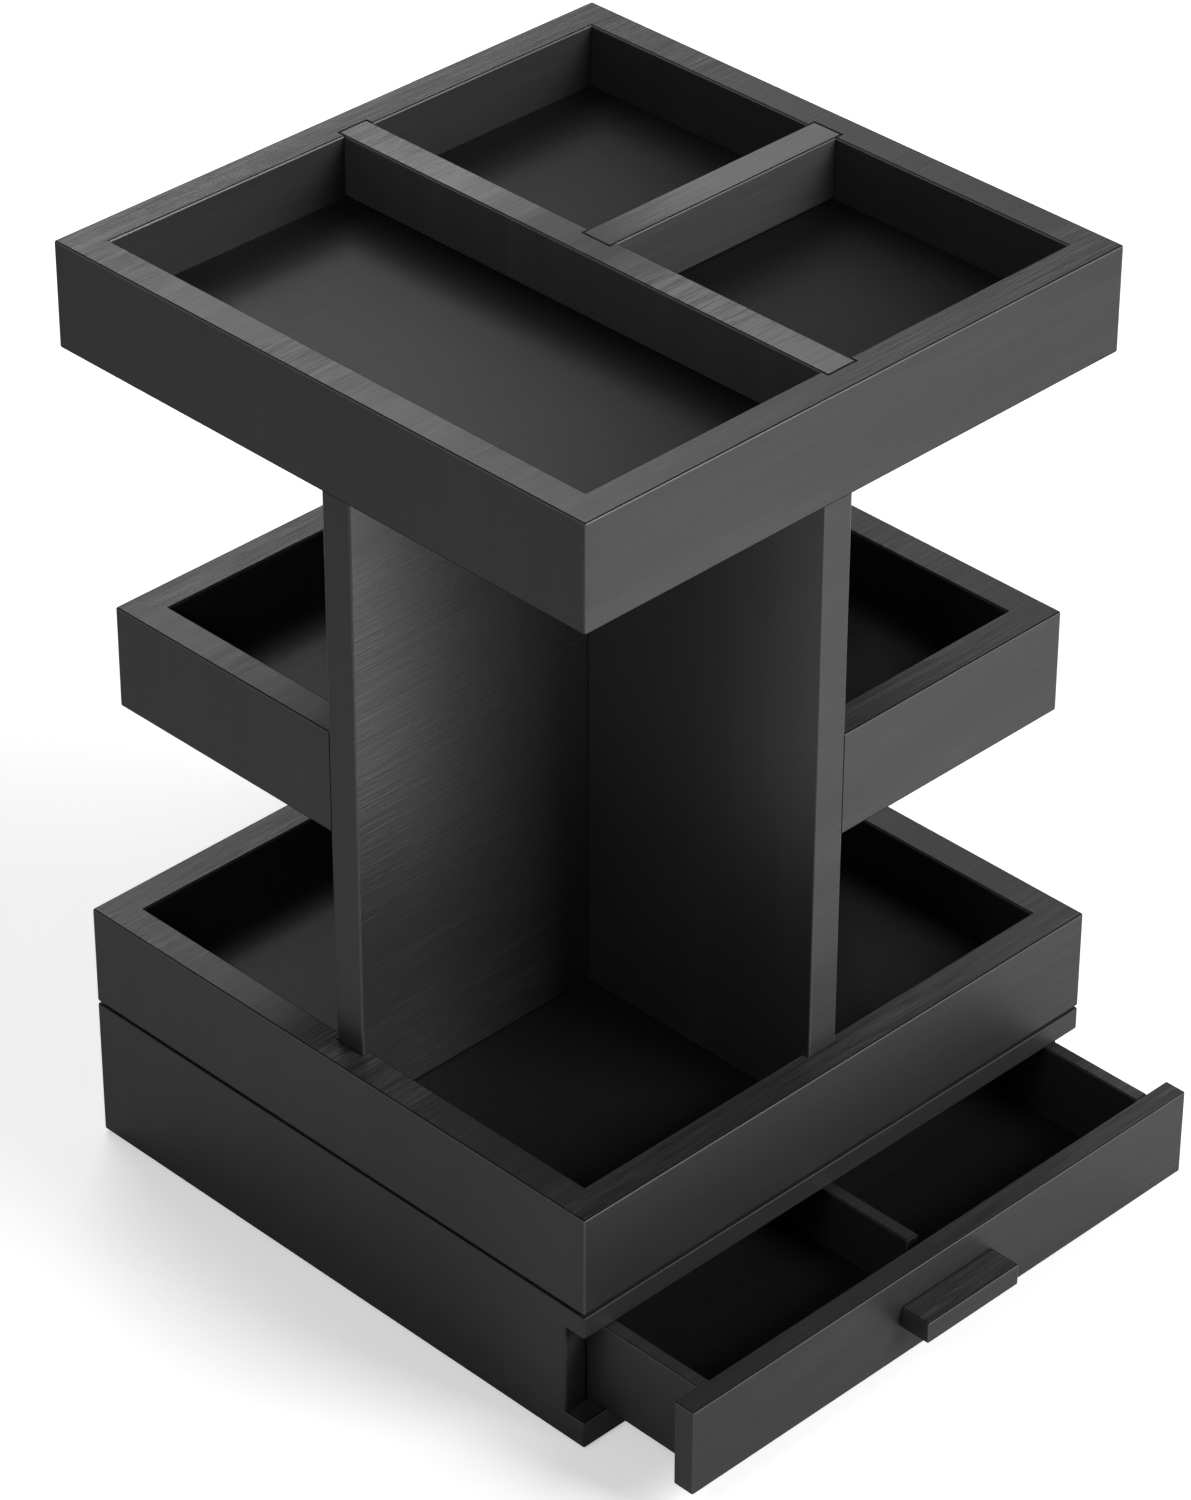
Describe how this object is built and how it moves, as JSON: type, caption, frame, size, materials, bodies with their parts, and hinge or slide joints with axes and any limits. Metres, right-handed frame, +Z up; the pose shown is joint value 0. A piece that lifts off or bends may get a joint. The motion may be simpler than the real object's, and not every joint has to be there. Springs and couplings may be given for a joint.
{
  "type": "rotating cologne organizer",
  "caption": "Square desktop organizer: a tower of open trays on crossing panels turns on a fixed base with a drawer.",
  "frame": {"origin": "where the turning axis meets the table, in the middle of the underside of the base", "axes": "+Z up along the turning axis; the drawer opens towards -Y; +X is to the right of the drawer"},
  "size_m": [0.228, 0.2865, 0.3385],
  "materials": {
    "black_wood": "black stain under a satin lacquer, fine straight grain",
    "steel": "zinc-plated steel",
    "beech": "bare beech",
    "rubber": "matt rubber sheet"
  },
  "bodies": {
    "base": {"grip_sheet": "rubber", "base_bottom_panel": "black_wood", "base_left_side": "black_wood", "base_right_side": "black_wood", "base_back_panel": "black_wood", "base_top_panel": "black_wood", "turntable_lower_plate": "steel", "turntable_pivot": "steel", "lower_plate_screw_front_left": "steel", "lower_plate_screw_front_right": "steel", "lower_plate_screw_back_left": "steel", "lower_plate_screw_back_right": "steel"},
    "ball_cage": {"ball_cage": "steel"},
    "tower": {"turntable_upper_plate": "steel", "upper_plate_screw_front_left": "steel", "upper_plate_screw_front_right": "steel", "upper_plate_screw_back_left": "steel", "upper_plate_screw_back_right": "steel", "lower_tray_front_rim": "black_wood", "lower_tray_back_rim": "black_wood", "lower_tray_left_rim": "black_wood", "lower_tray_right_rim": "black_wood", "lower_tray_floor": "black_wood", "cross_panel_x": "black_wood", "cross_panel_y": "black_wood", "mid_tray_left_back_rim": "black_wood", "mid_tray_left_side_rim": "black_wood", "mid_tray_left_floor": "black_wood", "mid_tray_right_front_rim": "black_wood", "mid_tray_right_side_rim": "black_wood", "mid_tray_right_floor": "black_wood", "top_tray_front_rim": "black_wood", "top_tray_back_rim": "black_wood", "top_tray_left_rim": "black_wood", "top_tray_right_rim": "black_wood", "top_tray_floor": "black_wood", "long_divider": "black_wood", "short_divider": "black_wood", "lower_panel_screw_left": "steel", "lower_panel_screw_right": "steel", "lower_panel_screw_front": "steel", "lower_panel_screw_back": "steel", "top_panel_screw_right": "steel", "top_panel_screw_front": "steel", "top_panel_screw_back": "steel", "mid_tray_left_dowel_x": "beech", "mid_tray_left_dowel_y": "beech", "mid_tray_right_dowel_x": "beech", "mid_tray_right_dowel_y": "beech"},
    "drawer": {"drawer_front": "black_wood", "drawer_left_side": "black_wood", "drawer_right_side": "black_wood", "drawer_back": "black_wood", "drawer_bottom": "black_wood", "drawer_divider": "black_wood", "drawer_pull": "black_wood", "pull_screw_left": "steel", "pull_screw_right": "steel"}
  },
  "joints": [
    {"name": "tower_turn", "type": "hinge", "parent": "base", "child": "tower", "pos_m": [0, 0, 0], "axis": [0, 0, 1], "continuous": true},
    {"name": "ball_cage_turn", "type": "hinge", "parent": "base", "child": "ball_cage", "pos_m": [0, 0, 0], "axis": [0, 0, 1], "continuous": true},
    {"name": "drawer_slide", "type": "slide", "parent": "base", "child": "drawer", "axis": [0, -1, 0], "range_m": [-0.047, 0.103]}
  ],
  "couplings": [
    {"joint": "ball_cage_turn", "follows": "tower_turn", "ratio": 0.5}
  ]
}
